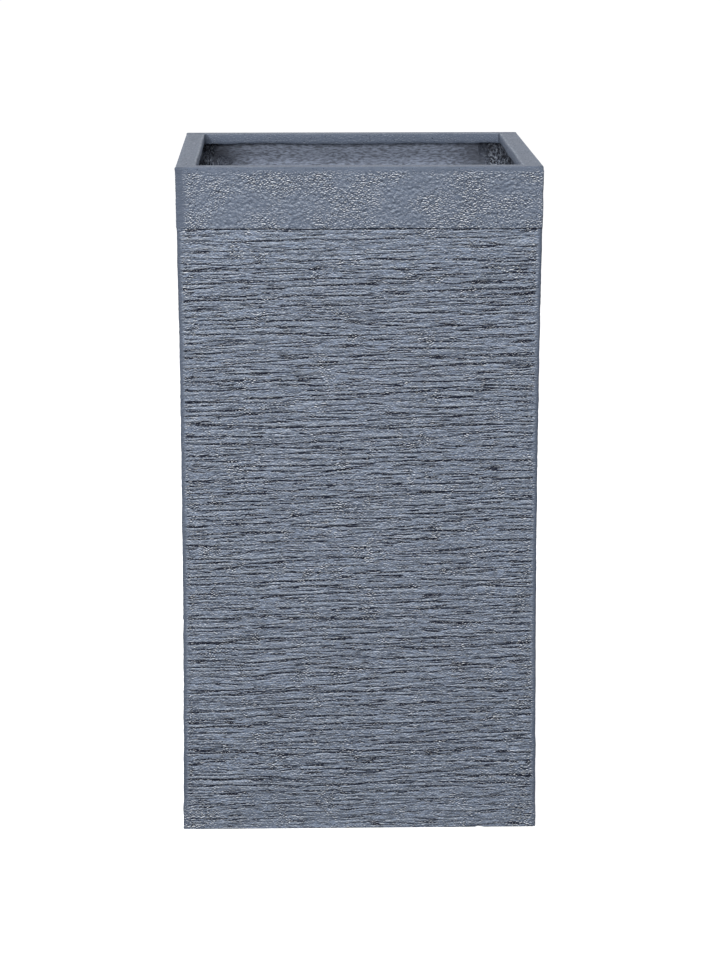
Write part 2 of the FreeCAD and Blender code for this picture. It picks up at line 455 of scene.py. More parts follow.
def mouldedRubber():
    # moulded black rubber: soft sheen, a little dust in the fine grain
    look = rubberLook
    material, tree, shader = newMaterial("moulded rubber, black")
    place = addNode(tree, "ShaderNodeTexCoord").outputs["Object"]
    grit = addNode(tree, "ShaderNodeTexNoise", {}, {"Vector": place},
                   Scale=1 / (look["grit"] * mm), Detail=2.0)
    dust = addNode(tree, "ShaderNodeTexNoise", {}, {"Vector": place},
                   Scale=look["dustPerMetre"], Detail=3.0)
    dustMask = addNode(tree, "ShaderNodeMapRange", {}, {"Value": dust.outputs["Fac"]},
                       From_Min=0.45, From_Max=0.75)
    colour = addNode(tree, "ShaderNodeMix", {"data_type": "RGBA"}, {0: dustMask.outputs[0]},
                     _6=srgb(look["colour"]), _7=srgb(look["dust"]))
    tree.links.new(colour.outputs[2], shader.inputs["Base Color"])
    rough = addNode(tree, "ShaderNodeMapRange", {}, {"Value": grit.outputs["Fac"]},
                    To_Min=look["roughness"] - 0.1, To_Max=look["roughness"] + 0.15)
    tree.links.new(rough.outputs[0], shader.inputs["Roughness"])
    shader.inputs["IOR"].default_value = look["IOR"]
    bump = addNode(tree, "ShaderNodeBump", {}, {"Height": grit.outputs["Fac"]},
                   Strength=0.35, Distance=look["high"] * mm)
    tree.links.new(bump.outputs[0], shader.inputs["Normal"])
    return material


gelcoat = paintedGelcoat()
glassMat = paintedMat()
openMat = openGlassMat()
rubber = mouldedRubber()
print("materials made")


wallLook = {
    "rowStep": 0.95,              # mm between rows of the combed field
    "colStep": 5.0,               # mm between its columns, since the combing runs along the wall
    "bandRow": 0.95,
    "bandCols": 4,                # columns of the band for each one of the field
    "bandHigh": 67.0,             # the stippled band under the rim
    "scoreWide": 1.4,             # the line scored under the band
    "scoreDeep": 1.1,
    "arris": 2.4,                 # radius of the upright outer corners
    "edge": 1.4,                  # radius of the outer top edge
    "foot": 0.9,
    "margin": 7.0,                # plain strip beside each corner
    "ridges": 2300,               # strokes of the comb on one wall
    "ridgeLong": (105, 34, 290),  # mm, the usual one, the shortest and the longest
    "ridgeWide": (3.6, 8.5),
    "rise": (0.4, 1.15),          # mm, how high they stand
    "gouges": (110, 190),         # how many, and the longest in mm
    "nicks": (2300, 90),          # the short cuts between them
    "cutWide": 0.62,              # mm, from the middle of a cut to where it has mostly faded
    "cutDeep": 0.8,               # mm, how deep a full cut goes
    "flat": 0.85,                 # share of the broad swelling that is taken away,
    "swellingRows": 10,           # and the rows over which it is measured
    "ridgeRows": 3.5,             # rows over which a ridge is told from a hollow,
    "crowdRows": 6,               # and cuts that crowd together are thinned out
    "crowdCols": 2,
    "crowdFrom": (0.36, 0.5),     # how deep a cut is before it counts
    "thinned": 0.9,
    "evenRows": 9,                # rows over which pale and dark even out
    "waverReach": 7.0,            # mm, how far the waver of the score pulls the rows beside it
    "bump": 0.36,                 # mm, the stipple of the band
    "innerRow": 12.0,
    "innerRough": 0.45,
    "quiet": 0.12,                # grain and combing where there is hardly any
    "knocks": [((200, -200, 750), 7.0, (-1.2, 1.2, -2.6)), ((136, -199, 0.5), 5.0, (0, 1.6, 1.4))],
}

# columns near a corner, as distances from it, beyond which they are evenly spaced
arrisCut = 1 - math.sqrt(0.5)
cornerCols = [wallLook["arris"] * arrisCut, 1.15, 1.7, 2.4, 3.4, 4.8, 6.6, 9.0]


def roundIn(radius, distance):
    # how deep a rounded corner lies below the flat at a distance from the virtual corner
    d = np.clip(radius - np.asarray(distance, float), 0, radius)
    return radius - np.sqrt(np.maximum(radius ** 2 - d ** 2, 0))


def combStrokes(rng, across, up, look):
    # one stroke after another, each a long low ridge with a soft top and a sharp lower edge
    heights = 0.2 * softNoise(rng, (len(up), len(across)), (9, 5))
    cuts = np.zeros_like(heights)
    low, high = up[0], up[-1]
    usual, shortest, longest = look["ridgeLong"]
    for _ in range(look["ridges"]):
        length = float(np.clip(rng.lognormal(math.log(usual), 0.5), shortest, longest))
        middle = rng.uniform(-half - 30, half + 30)
        level = rng.uniform(low - 4, high + 4)
        slope = rng.normal(0.018, 0.022)
        width = rng.uniform(*look["ridgeWide"])
        rise = rng.uniform(*look["rise"])
        sway = rng.uniform(0.1, 0.7)
        wave = rng.uniform(40, 140)
        phase = rng.uniform(0, 2 * math.pi)
        deep = float(np.clip(rng.uniform(-0.2, 1.7), 0, 1))
        cols = np.nonzero(np.abs(across - middle) < length / 2)[0]
        if len(cols) < 3:
            continue
        u = across[cols]
        t = (u - middle) / (length / 2)
        taper = (1 - t * t) ** 0.5
        line = level + slope * (u - middle) + sway * np.sin(2 * math.pi * u / wave + phase)
        line = line + rng.normal(0, 0.16, len(cols))
        first = np.searchsorted(up, line.min() - width / 2 - 2.5)
        last = np.searchsorted(up, line.max() + width / 2 + 1)
        if last - first < 2:
            continue
        z = up[first:last, None]
        q = (z - line[None, :]) / (width * taper[None, :] + 0.01)
        cover = np.clip((0.5 - q) / 0.3, 0, 1) * np.clip((q + 0.5) / 0.1, 0, 1)
        ridge = rise * taper * np.sin(np.clip((0.5 - q) / 0.8, 0, 1) * math.pi / 2)
        window = heights[first:last, cols[0]:cols[-1] + 1]
        window += (ridge - 0.15 - window) * cover * 0.95
        below = (line - width * taper / 2)[None, :] - z
        dip = np.exp(-((below - 0.8) / look["cutWide"]) ** 2) * taper ** 0.4
        window -= 0.5 * rise * deep * dip
        marked = cuts[first:last, cols[0]:cols[-1] + 1]
        marked *= 1 - cover
        np.maximum(marked, deep * dip, out=marked)
    return heights, cuts


def cutLines(rng, across, up, count, longest, wide):
    # thin dark cuts with pointed ends
    depth = np.zeros((len(up), len(across)))
    for _ in range(count):
        length = longest * float(np.clip(rng.lognormal(math.log(0.3), 0.6), 0.09, 1))
        middle = rng.uniform(-half, half)
        level = rng.uniform(up[0], up[-1])
        slope = rng.normal(0.02, 0.025)
        deep = rng.uniform(0.4, 1)
        wave = rng.uniform(30, 90)
        phase = rng.uniform(0, 2 * math.pi)
        cols = np.nonzero(np.abs(across - middle) < length / 2)[0]
        if len(cols) < 2:
            continue
        u = across[cols]
        t = (u - middle) / (length / 2)
        line = level + slope * (u - middle) + 0.35 * np.sin(2 * math.pi * u / wave + phase)
        first = np.searchsorted(up, line.min() - 2)
        last = np.searchsorted(up, line.max() + 2)
        if last <= first:
            continue
        z = up[first:last, None]
        cut = deep * (1 - t * t) ** 0.4 * np.exp(-((z - line[None, :]) / wide) ** 2)
        window = depth[first:last, cols[0]:cols[-1] + 1]
        np.maximum(window, cut, out=window)
    return depth


def wallRows(look):
    scoreTop = height - look["bandHigh"]
    scoreFoot = scoreTop - look["scoreWide"]
    footAngles = np.radians([90, 45, 0])
    foot = look["foot"] * (1 - np.sin(footAngles))
    field = np.arange(look["foot"] + look["rowStep"], scoreFoot - 0.5, look["rowStep"])
    score = [scoreFoot - 0.25, scoreFoot + 0.2, scoreTop - 0.25, scoreTop + 0.15]
    rows = np.concatenate([foot, field, score])
    footIn = np.concatenate([look["foot"] * (1 - np.cos(footAngles)), np.zeros(len(rows) - 3)])
    topAngles = np.radians([25, 50, 70, 90])
    bandTop = height - look["edge"]
    band = np.arange(scoreTop + look["bandRow"], bandTop, look["bandRow"])
    top = bandTop + look["edge"] * np.sin(topAngles)
    bandRows = np.concatenate([band, top])
    bandIn = np.concatenate([np.zeros(len(band)), look["edge"] * (1 - np.cos(topAngles))])
    return rows, footIn, bandRows, bandIn


rimTopShade = 0.22                     # how much painted shade darkens the flat top of the rim
fieldRows, fieldIn, bandRows, bandIn = wallRows(wallLook)
cornerRows = np.arange(0, height + 2, 1.0)
cornerTurn = []                    # each corner's own wander, shared by the two walls that meet there
for k in range(4):
    rng = np.random.default_rng(seeds["corner"] + k)
    wander = np.zeros(len(cornerRows))
    for apart, past, amount in ((12.0, 30, 0.22), (2.5, 5, 0.07)):
        knots = np.arange(0, height + past, apart)
        wander += np.interp(cornerRows, knots, rng.normal(0, amount, len(knots)))
    cornerTurn.append(wander)


def cornerOut(k, z):
    # the band stands a little prouder than the field below it
    step = 0.3 * smooth(height - wallLook["bandHigh"] - 3, height - wallLook["bandHigh"], z) - 0.15
    return np.interp(z, cornerRows, cornerTurn[k % 4]) + step


def knockOff(points):
    # the knocks it has had: a chip off the front right corner and a nick in the front foot
    for place, reach, push in wallLook["knocks"]:
        away = np.linalg.norm(points / mm - np.array(place), axis=1)
        amount = 1 - smooth(0, reach, away)
        points = points + amount[:, None] * np.array(push) * mm
    return points


def sideColumns(fine):
    # nominal places along the wall; the last few keep their distance from the corner at any height
    span = half - cornerCols[-1]
    count = int(round(2 * span / wallLook["colStep"]))
    middle = np.linspace(-1, 1, count + 1)
    left = [-(half - s) for s in cornerCols[:-1]]
    nominal = np.concatenate([left, middle * span, [-v for v in reversed(left)]])
    if fine > 1:
        nominal = np.interp(np.arange((len(nominal) - 1) * fine + 1) / fine,
                            np.arange(len(nominal)), nominal)
    return nominal


def placeOuter(nominal, z, relief, inset, left, right):
    # rows of points on the outside of a wall, with the corners rounded and their wander blended in
    reach = half - drawnIn(z)[:, None]
    span = half - cornerCols[-1]
    u = nominal[None, :]
    corner = half - np.abs(u)                                     # distance from the nearer corner
    inner = np.abs(u) <= span
    uHere = np.where(inner, u * (reach - cornerCols[-1]) / span, np.sign(u) * (reach - corner))
    mix = 1 - smooth(1.5, wallLook["margin"], corner)
    wander = np.where(u < 0, left[:, None], right[:, None]) * mix
    deep = roundIn(wallLook["arris"], corner)
    depthIn = inset[:, None]
    out = reach + relief * (1 - mix) + wander - deep - depthIn
    pull = np.clip(1 - (corner - cornerCols[0]) / (cornerCols[-1] - cornerCols[0]), 0, 1)
    uHere = uHere + np.sign(u) * (wander - depthIn * pull)
    return uHere, out


def makeWall(side):
    look = wallLook
    rng = np.random.default_rng(seeds["wall"] + side)
    coarse = sideColumns(1)
    fine = sideColumns(look["bandCols"])

    # the combed field below the scored line
    field, strokeCuts = combStrokes(rng, coarse, fieldRows, look)
    cuts = cutLines(rng, coarse, fieldRows, *look["gouges"], look["cutWide"])
    cuts = np.maximum(cuts, cutLines(rng, coarse, fieldRows, *look["nicks"], look["cutWide"]))
    field += 0.08 * softNoise(rng, field.shape, (0.8, 1.0)) - look["cutDeep"] * cuts
    # the mould was flat, so only the strokes themselves stand up from it
    swelling = blurred(field, look["swellingRows"])
    field -= look["flat"] * (swelling - swelling.mean())
    field -= np.percentile(field, 92)
    field = np.clip(field, -2.6, 0.6)
    smoothed = blurred(field, look["ridgeRows"])
    lines = np.clip(np.maximum(cuts, strokeCuts), 0, 1)
    crowd = blurred(smooth(*look["crowdFrom"], lines), look["crowdRows"], look["crowdCols"])
    lines = np.clip(lines - look["thinned"] * (crowd - crowd.mean()), 0, 1)
    # painted shade in the hollows between the ridges and painted highlight on the ridges
    shadeAndDarkening = np.clip((smoothed - field - 0.5) / 1.4, 0, 0.28)
    paintedHighlight = np.clip((field - smoothed - 0.2) / 1.0, 0, 0.6)
    # the lips of a cut stand up and get a painted highlight
    lipHighlight = np.maximum(np.roll(lines, 2, axis=0), 0.6 * np.roll(lines, -2, axis=0))
    paintedHighlight = np.clip(paintedHighlight + 0.5 * lipHighlight * (1 - lines), 0, 0.8)
    # painted light from above: a painted highlight on the slopes that face up and painted shade on the
    # undersides
    facing = np.gradient(field, fieldRows, axis=0)
    shadeAndDarkening = np.clip(shadeAndDarkening + 0.2 * np.clip(facing / 0.7, 0, 1), 0, 1)
    paintedHighlight = np.clip(paintedHighlight + 0.35 * np.clip(-facing / 0.5, 0, 1), 0, 0.8)
    balance = shadeAndDarkening - paintedHighlight
    uneven = blurred(balance, look["evenRows"]) - balance.mean()
    shadeAndDarkening = np.clip(shadeAndDarkening - np.clip(uneven, 0, 1), 0, 1)
    paintedHighlight = np.clip(paintedHighlight + np.clip(uneven, -1, 0), 0, 0.8)
    corner = half - np.abs(coarse)
    cornerFade = smooth(2, look["margin"], corner)[None, :]
    footFade = smooth(0.5, 6, fieldRows)[:, None]
    field = field * footFade
    plain = 1 - cornerFade
    # darker again in the plain strips beside the corners
    shadeAndDarkening = shadeAndDarkening * footFade * (1 - plain) * 0.95 + 0.03 + 0.3 * plain
    paintedHighlight = paintedHighlight * footFade * cornerFade

    # the scored line wavers a little and dies out by the left corner
    scoreTop = height - look["bandHigh"]
    scoreMid = scoreTop - look["scoreWide"] / 2
    waver = 0.25 * np.sin(coarse / 27 + side) + 0.14 * np.sin(coarse / 9.5 + 2 * side)
    strength = smooth(7, 12, coarse + half) * (0.88 + 0.12 * np.sin(coarse / 31 + side))
    inScore = (np.abs(fieldRows - scoreMid) < look["scoreWide"] / 2).astype(float)[:, None]
    field = field * (1 - inScore) - inScore * (look["scoreDeep"] * strength[None, :])
    calmTop = 1 - 0.3 * smooth(scoreTop - 60, scoreTop - 5, fieldRows)[:, None]
    calmFoot = 1 - 0.35 * smooth(70, 5, fieldRows)[:, None]
    lines = lines * footFade * calmTop * calmFoot * smooth(3, look["margin"], corner)[None, :]
    shadeAndDarkening = shadeAndDarkening * calmFoot + 0.09 * smooth(90, 10, fieldRows)[:, None]      # darker towards the foot
    lines = np.maximum(lines * (1 - inScore), inScore * strength[None, :])
    shadeAndDarkening = shadeAndDarkening * (1 - inScore)
    paintedHighlight = paintedHighlight * (1 - inScore)

    # the stippled band above it
    bandShape = (len(bandRows), len(fine))
    bumps = look["bump"] * softNoise(rng, bandShape, (0.62, 0.62), lean=-0.4)
    broad = softNoise(rng, bandShape, (5, 6))
    leftFade = smooth(6, 16, fine + half)[None, :]
    topFade = smooth(2, 9, height - bandRows)[:, None]
    bandFade = leftFade * topFade
    band = (bumps * (0.75 + 0.25 * np.tanh(broad)) + 0.08 * broad) * bandFade - 0.15
    # painted shade under each bump of the band and painted highlight on top; the band is darker
    # overall, most at its left end
    bandFacing = np.gradient(bumps, look["bandRow"], axis=0)
    bandShade = np.clip(bandFacing / 1.2 - 0.1, 0, 0.45) * bandFade + 0.26 - 0.17 * leftFade
    bandHighlight = np.clip(-bandFacing / 0.8 - 0.1, 0, 0.6) * bandFade

    # the rows beside the score waver with it
    points = []
    for u, z, relief, inset in ((coarse, fieldRows, field, fieldIn), (fine, bandRows, band, bandIn)):
        near = np.exp(-((z - scoreMid) / look["waverReach"]) ** 2)[:, None]
        uHere, out = placeOuter(u, z, relief, inset, cornerOut(side, z), cornerOut(side + 1, z))
        zHere = z[:, None] + np.interp(u, coarse, waver) * near
        points.append(knockOff(turnTo(side, uHere, out, zHere)))

    # the inside, from the rim down to the ground
    innerRows = np.concatenate([[height, lipFoot], np.arange(lipFoot - 6, 5, -look["innerRow"]), [0.0]])
    innerReach = half - wallThick - drawnIn(innerRows)
    rough = look["innerRough"] * softNoise(rng, (len(innerRows), len(coarse)), (0.8, 1.2))
    rough *= (smooth(2, 12, lipFoot - innerRows) * smooth(0, 12, innerRows))[:, None]
    uInner = coarse[None, :] / np.abs(coarse).max() * innerReach[:, None]
    outInner = innerReach[:, None] + rough * (np.abs(coarse) < half - 25)[None, :]
    zInner = np.broadcast_to(innerRows[:, None], uInner.shape)
    points.append(turnTo(side, uInner, outInner, zInner))

    nC, nF, step = len(coarse), len(fine), look["bandCols"]
    bandStart = field.size
    innerStart = bandStart + band.size
    faces = gridQuads(len(fieldRows), nC)
    lastField = (len(fieldRows) - 1) * nC
    for c in range(nC - 1):        # coarse to fine, above the scored line
        f = bandStart + step * c
        faces.append([lastField + c, lastField + c + 1, *range(f + step, f - 1, -1)])
    faces += gridQuads(len(bandRows), nF, bandStart)
    lastBand = bandStart + (len(bandRows) - 1) * nF
    for c in range(nC - 1):        # the top of the wall, fine to coarse
        f = lastBand + step * c
        faces.append([*range(f, f + step + 1), innerStart + c + 1, innerStart + c])
    firstInner = len(faces)
    faces += gridQuads(len(innerRows), nC, innerStart)
    afterInner = len(faces)
    lastInner = innerStart + (len(innerRows) - 1) * nC
    for c in range(nC - 1):        # the foot
        faces.append([lastInner + c, lastInner + c + 1, c + 1, c])
    for c, f, flip in ((0, 0, True), (nC - 1, nF - 1, False)):
        loop = [*range(c, bandStart, nC), *range(bandStart + f, innerStart, nF)]
        loop += [innerStart + r * nC + c for r in range(len(innerRows))]
        faces.append(loop[::-1] if flip else loop)

    cornerShade = np.tile(0.75 * smooth(85, 30, corner), (len(innerRows), 1))     # painted shade in the inside corners
    cornerShade[0] = rimTopShade                       # the top of the wall, which looks like the rim bar
    # the comb broke chips off where it started and stopped, beside the plain strips
    chipRng = np.random.default_rng(seeds["chips"] + side)
    chipped = np.clip(softNoise(chipRng, field.shape, (7, 0.5)) - 0.2, 0, 1)
    chips = 0.7 * chipped * np.exp(-((corner - 10) / 5) ** 2)[None, :]
    footCorners = 0.6 * smooth(45, 5, fieldRows)[:, None] * smooth(45, 5, corner)[None, :]
    fieldGrain = 0.42 * cornerFade + 0.05 + chips + footCorners
    # the stipple lies in patches, with calmer paint between them
    patchRng = np.random.default_rng(seeds["stipple"] + side)
    patchy = np.clip(0.6 + 0.34 * softNoise(patchRng, band.shape, (8, 8)), 0.12, 1)
    bandGrain = patchy * bandFade + 0.05
    quiet = look["quiet"]
    comb = quiet + (1 - quiet) * cornerFade
    # each mark on the field, the band and the inside
    byZone = {"shadeAndDarkening": (shadeAndDarkening, bandShade, cornerShade), "gouge": (lines, 0, 0),
              "paintedHighlight": (paintedHighlight, bandHighlight, 0), "grain": (fieldGrain, bandGrain, quiet),
              "comb": (comb, quiet, 0)}
    marks = {}
    for name, zones in byZone.items():
        marks[name] = np.concatenate([np.broadcast_to(zone, grid.shape).ravel()
                                      for zone, grid in zip(zones, (field, band, uInner))])
    name = sideNames[side]
    piece = makeMesh(name + "_panel", np.concatenate(points), faces, "planter", gelcoat,
                     [name + "_wall"], marks)
    piece.data.materials.append(glassMat)
    inside = np.zeros(len(piece.data.polygons), dtype=np.int32)
    inside[firstInner:afterInner] = 1
    piece.data.polygons.foreach_set("material_index", inside)
    return piece


for side in range(4):
    makeWall(side)
print("walls combed and scored")


lipLook = {
    "step": 3.0,
    "edge": 1.9,                  # rounding of the inner top edge
    "wander": 0.22,               # mm, how far the inner edge strays from a straight line
    "footWander": (0.35, 0.2),    # mm, and its lower edge, slowly and quickly
    "ragged": 0.12,
    "highlighted": (0.3, 0.6, 0.3),    # painted highlight along the inner top edge, partly rubbed paint
    "innerShade": 0.02,            # the inner face gets less painted shade than the top
    "cornerFill": [1.5, 1.5, 1.0, 2.5],   # resin in the inner corners of the mouth
    # how far the end of a bar falls short at its top and foot: the back bar was cut badly
    "shortEnds": {("back", -1): (1.6, 1.0), ("back", 1): (3.0, 10.0), ("front", -1): (0.4, 0.4),
                  ("front", 1): (0.3, 0.3), ("left", -1): (0.6, 1.0), ("right", 1): (0.6, 2.0)},
}


def makeLip(side):
    look = lipLook
    rng = np.random.default_rng(seeds["rim"] + side)
    outer = half - wallThick
    inner = half - rimWide
    count = int(2 * inner / look["step"])
    t = np.linspace(-1, 1, count + 1)
    ends = np.array([0.965, 0.978, 0.988, 0.995])
    t = np.unique(np.concatenate([t[np.abs(t) < 0.955], ends, -ends, [-1.0, 1.0]]))
    n = len(t)
    wander = look["wander"] * wobble(rng, n, 12)
    foot = look["footWander"][0] * wobble(rng, n, 9) + look["footWander"][1] * wobble(rng, n, 1.2)
    ragged = look["ragged"] * wobble(rng, n, 0.6)
    calm = smooth(0, 0.05, 1 - np.abs(t))
    wander, foot, ragged = wander * calm, foot * calm, ragged * calm
    e = look["edge"]
    # out from the inner face, height, and how much each point takes of the wander and corner fill
    ring = [(outer, lipFoot, 0.0), (outer, height, 0.0)]
    ring += [(inner + d, height, w) for d, w in ((12.5, 0.0), (9.0, 0.2), (6.0, 0.5), (3.5, 0.8))]
    for angle in (90, 70, 50, 30, 0):
        a = math.radians(angle)
        ring.append((inner + e * (1 - math.cos(a)), height - e + e * math.sin(a), 1.0))
    ring += [(inner, height - 5, 1.0), (inner, height - 8, 1.0), (inner + 0.2, lipFoot + 1.6, 1.0),
             (inner + 0.9, lipFoot + 0.4, 1.0), (inner + 2.6, lipFoot, 0.8), (inner + 8, lipFoot, 0.4)]
    fills = np.where(t < 0, look["cornerFill"][side], look["cornerFill"][(side + 1) % 4])
    rows = []
    for out0, z0, share in ring:
        fill = fills * share
        reach = out0 - fill * arrisCut
        u = t * reach
        for end in (-1, 1):
            atTop, atFoot = look["shortEnds"].get((sideNames[side], end), (0, 0))
            short = atTop + (atFoot - atTop) * (height - z0) / (height - lipFoot)
            u = u - end * short * share * smooth(0.84, 1, end * t)
        deep = roundIn(np.maximum(fill, 1e-6), out0 - np.abs(u)) if share > 0 else 0
        out = out0 - np.where(fill > 0, deep, 0)
        out = np.where(np.abs(t) == 1, reach, out)
        out = out + share * (wander + ragged)
        low = z0 < lipFoot + 3
        z = np.full(n, z0) + (foot * (0.4 + 0.6 * share) if low and share > 0 else 0)
        rows.append(turnTo(side, u, out, z))
    m = len(ring)
    points = np.stack(rows).reshape(-1, 3)
    # painted highlight along the inner top edge, partly rubbed paint
    arris = np.zeros((m, n))
    arris[6:9] = np.array(look["highlighted"])[:, None]
    arris *= 0.6 + 0.4 * np.tanh(softNoise(rng, (1, n), (0, 2)))
    # painted shade all over the bar but its inner face
    rimShade = np.full((m, n), rimTopShade)
    rimShade[10:15] = look["innerShade"]
    marks = {"grain": np.full(m * n, wallLook["quiet"]), "comb": np.full(m * n, 0.05),
             "paintedHighlight": np.clip(arris, 0, 1), "shadeAndDarkening": rimShade}
    name = sideNames[side]
    piece = makeMesh("rim_bar_" + name, points, barFaces(m, n), "planter", gelcoat, ["lip_" + name],
                     marks, 35)
    return piece


for side in range(4):
    makeLip(side)
print("rim bars laid")


filletLook = {
    "row": 2.4,
    "cols": 20,
    "coarse": 1.0,                # mm, how far the lumps of the mat stand out
    "fine": 0.6,
    "lap": 15.0,                  # mm, how far it laps on to each wall
    "lapUneven": 0.3,
    "bed": 0.8,                   # mm, how far it goes into the wall, so that no gap shows
}
# the CAD's fillet spans its radius and nearly all of the wall's waist
cornerLow, cornerHigh = cadBox("corner_fillet_front_left")
filletRadius = (cornerHigh[0] - cornerLow[0]) - waist * 0.93


def makeFillet(k):
    # the mat is pressed into the corner and laps a little way on to both walls
    look = filletLook
    rng = np.random.default_rng(seeds["mat"] + k)
    low, high = cadBox("corner_fillet_" + cornerNames[k])
    zs = np.arange(low[2], high[2] + look["row"] / 2, look["row"])
    zs[-1] = high[2]
    n = len(zs)
    a = np.linspace(0, math.pi / 2, look["cols"])
    inside = (half - wallThick - drawnIn(zs))[:, None]
    centre = inside - filletRadius
    lumps = look["coarse"] * softNoise(rng, (n, len(a)), (2.2, 1.6))
    lumps += look["fine"] * softNoise(rng, (n, len(a)), (0.7, 0.6))
    r = filletRadius - 0.5 - 0.6 * lumps * np.sin(2 * a)[None, :] ** 0.4
    share = np.array([1.0, 0.7, 0.3])[None, :]                    # of the lap, from its edge inwards
    skin = np.array([-0.7, 0.35, 0.5])[None, :]                   # mm, how far it stands off the wall
    lapLeft, lapRight = [look["lap"] * (1 + look["lapUneven"] * wobble(rng, n, 1.5))[:, None]
                         for _ in range(2)]
    u = np.concatenate([-(inside - skin), -(centre + r * np.cos(a)[None, :]),
                        -(centre - lapRight * share[:, ::-1])], axis=1)
    out = np.concatenate([centre - lapLeft * share, centre + r * np.sin(a)[None, :],
                          inside - skin[:, ::-1]], axis=1)
    bed = inside + look["bed"]
    u = np.concatenate([u, -(centre - lapRight), -bed, -bed], axis=1)
    out = np.concatenate([out, bed, bed, centre - lapLeft], axis=1)
    z = np.broadcast_to(zs[:, None], u.shape)
    m = u.shape[1]
    shadeAndDarkening = np.zeros((n, m))
    shadeAndDarkening[:, 3:3 + len(a)] = np.clip(lumps * 0.35 - 0.1, 0, 0.8)
    shadeAndDarkening = shadeAndDarkening + 0.45 * smooth(high[2] - 16, high[2] - 4, zs)[:, None]   # painted shade under the rim
    thin = np.zeros((n, m))
    thin[:, :3] = [0.95, 0.8, 0.45]
    thin[:, 3 + len(a):6 + len(a)] = [0.45, 0.8, 0.95]
    marks = {"shadeAndDarkening": np.clip(shadeAndDarkening, 0, 1), "thin": thin}
    piece = makeMesh("mat_fillet_" + cornerNames[k], turnTo(k, u, out, z), tubeFaces(n, m, flip=True),
                     "planter", openMat, ["corner_fillet_" + cornerNames[k]], marks)
    return piece


for k in range(4):
    makeFillet(k)
print("corners filled with mat")


floorLook = {"rings": 56, "spokes": 240, "rough": 0.45, "footRough": 0.3, "cells": 128}
holeRadius = 12.0                  # the drain hole


def makeFloor():
    look = floorLook
    rng = np.random.default_rng(seeds["floor"])
    edge = half - wallThick - drawnIn(floorTop) + 0.5
    spokes = np.linspace(0, 2 * math.pi, look["spokes"], endpoint=False)
    square = edge / np.maximum(np.abs(np.cos(spokes)), np.abs(np.sin(spokes)))
    ringT = np.linspace(0, 1, look["rings"]) ** 1.15
    cells = (look["cells"], look["cells"])
    noise = softNoise(rng, cells, (1.4, 1.4)) + 0.6 * softNoise(rng, cells, (5, 5))

    def level(x, y):
        # the noise between its cells
        span = look["cells"] - 2
        i = np.clip((x / edge * 0.5 + 0.5) * span, 0, span)
        j = np.clip((y / edge * 0.5 + 0.5) * span, 0, span)
        i0, j0 = i.astype(int), j.astype(int)
        fi, fj = i - i0, j - j0
        return (noise[i0, j0] * (1 - fi) * (1 - fj) + noise[i0 + 1, j0] * fi * (1 - fj)
                + noise[i0, j0 + 1] * (1 - fi) * fj + noise[i0 + 1, j0 + 1] * fi * fj)

    rows = []
    for t in ringT:
        r = holeRadius + (square - holeRadius) * t
        x, y = r * np.cos(spokes), r * np.sin(spokes)
        quiet = smooth(19.5, 26, r)           # flat where the plug's flange sits
        z = floorTop - 0.05 + look["rough"] * level(x, y) * quiet
        rows.append(np.stack([x, y, z], -1))
    for t in ringT[::-4]:
        r = holeRadius + (square - holeRadius) * t
        x, y = r * np.cos(spokes), r * np.sin(spokes)
        z = floorFoot + look["footRough"] * level(y, x) * smooth(13, 20, r) * smooth(1, 8, square - r)
        rows.append(np.stack([x, y, z], -1))
    if ringT[::-4][-1] > 0:
        x, y = holeRadius * np.cos(spokes), holeRadius * np.sin(spokes)
        rows.append(np.stack([x, y, np.full(len(spokes), floorFoot)], -1))
    m, n = len(rows), look["spokes"]
    points = np.concatenate(rows) * mm
    faces = []
    for i in range(m):
        j = (i + 1) % m
        for c in range(n):
            d = (c + 1) % n
            faces.append([i * n + c, j * n + c, j * n + d, i * n + d])
    piece = makeMesh("laid_floor", points, faces, "planter", glassMat, ["floor_panel"],
                     {"shadeAndDarkening": np.zeros(len(points))})
    return piece


beadLook = {"points": 130, "swell": (0.09, 0.04), "bed": 0.8}     # bed: mm into the floor and the wall


def makeBead(side):
    look = beadLook
    rng = np.random.default_rng(seeds["bead"] + side)
    face = half - wallThick - drawnIn(floorTop)
    leg = beadTop - floorTop
    n = look["points"]
    t = np.linspace(-1, 1, n)
    slow, quick = look["swell"]
    swell = 1 + (slow * wobble(rng, n, 3) + quick * wobble(rng, n, 1)) * smooth(0, 0.04, 1 - np.abs(t))
    bed = look["bed"]
    rows = [(np.full(n, face + bed), np.full(n, z)) for z in (floorTop - bed, floorTop + leg)]
    for a in np.radians([90, 75, 60, 45, 30, 15, 0]):
        bulge = leg * swell * (0.64 + 0.36 * abs(math.cos(2 * a)) ** 0.8)
        rows.append((face - bulge * math.cos(a), floorTop + bulge * math.sin(a)))
    rows.append((face - leg * swell, np.full(n, floorTop - bed)))
    points = np.concatenate([turnTo(side, t * out, out, z) for out, z in rows])
    name = sideNames[side]
    piece = makeMesh("resin_bead_" + name, points, barFaces(len(rows), n), "planter", glassMat,
                     ["floor_bead_" + name])
    return piece


plugLook = {
    "spokes": 72,
    "clearance": 0.06,            # mm, between the shank and the hole
    "flangeThick": 3.0,
    "tabWide": 16.0,
    "tabThick": 5.0,
    "tabSpokes": 28,
}


